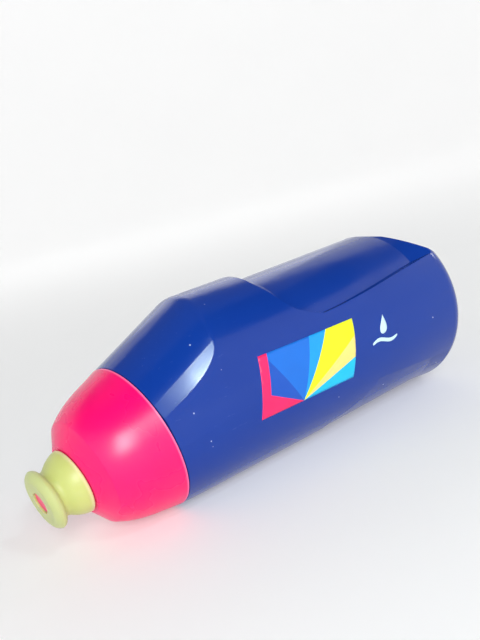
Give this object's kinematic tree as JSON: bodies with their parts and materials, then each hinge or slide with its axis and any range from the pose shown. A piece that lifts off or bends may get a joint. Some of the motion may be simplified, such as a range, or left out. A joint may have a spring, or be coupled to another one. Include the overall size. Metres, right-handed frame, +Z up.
{
  "type": "bicycle water bottle",
  "caption": "Squeeze water bottle for a bicycle with an offset leaning neck, screw cap, sealing ring and push-pull drinking nozzle, lying on its side.",
  "frame": {"origin": "centre of the bottle's footprint, at the level of the surface it lies on", "axes": "+Z up, +X along the bottle from the mouthpiece to the base, the flat label side faces -Y"},
  "size_m": [0.1914, 0.073, 0.0729],
  "materials": {
    "blue_plastic": "satin blow-moulded polyethylene",
    "pink_plastic": "satin moulded polypropylene",
    "seal_rubber": "matt soft ring",
    "soft_nozzle": "translucent soft plastic"
  },
  "bodies": {
    "bottle": {"bottle_body": "blue_plastic"},
    "seal": {"cap_gasket": "seal_rubber"},
    "cap": {"screw_cap": "pink_plastic"},
    "nozzle": {"mouthpiece": "soft_nozzle"}
  },
  "joints": [
    {"name": "cap_rise", "type": "slide", "parent": "bottle", "child": "seal", "axis": [-0.9863, 0, -0.165], "range_m": [0, 0.016]},
    {"name": "cap_turn", "type": "hinge", "parent": "seal", "child": "cap", "pos_m": [-0.05296, 0, 0.02843], "axis": [-0.9863, 0, -0.165], "range_deg": [0, 1440]},
    {"name": "nozzle_pull", "type": "slide", "parent": "cap", "child": "nozzle", "axis": [-0.9863, 0, -0.165], "range_m": [0, 0.006]}
  ],
  "couplings": [
    {"joint": "cap_rise", "follows": "cap_turn", "m_per_rad": 0.00063662}
  ]
}
